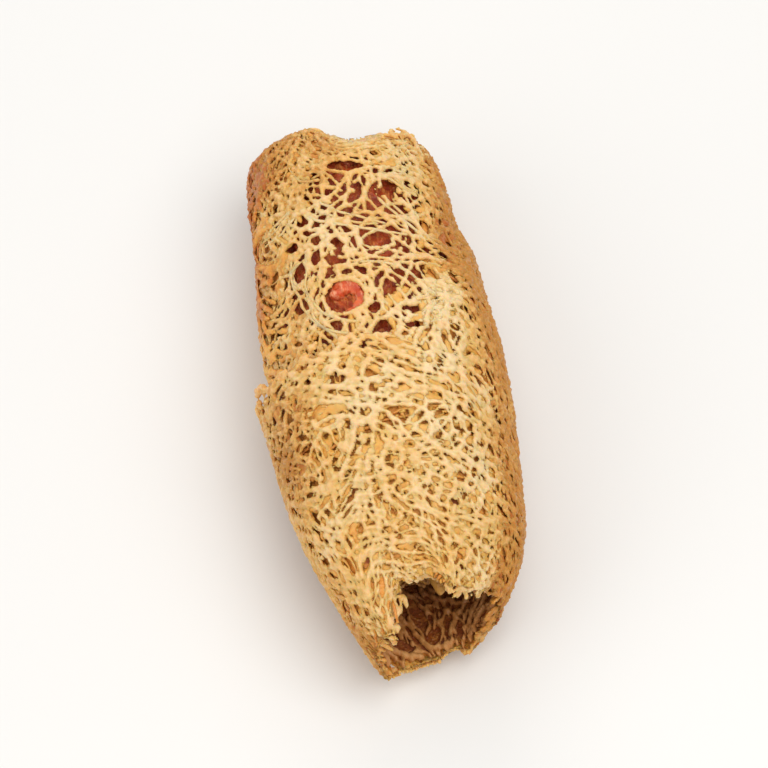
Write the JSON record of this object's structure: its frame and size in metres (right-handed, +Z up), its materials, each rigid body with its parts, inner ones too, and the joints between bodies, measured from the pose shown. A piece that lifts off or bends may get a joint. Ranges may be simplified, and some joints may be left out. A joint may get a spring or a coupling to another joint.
{
  "type": "net spring roll",
  "caption": "Fried spring roll in a lacy rice-batter net, with a torn open mouth, a coiled folded end and a loosened patch over its filling.",
  "frame": {"origin": "on the resting plane, below the centre of the bounding box", "axes": "+Z up, +Y along the roll towards its folded end, -Y out of the open mouth"},
  "size_m": [0.0346, 0.0802, 0.0309],
  "materials": {
    "fried_net": "rough, crisp and slightly oily",
    "minced_filling": "moist minced meat and shrimp"
  },
  "bodies": {
    "root": {"net_wrapper": "fried_net", "filling": "minced_filling"}
  },
  "joints": []
}
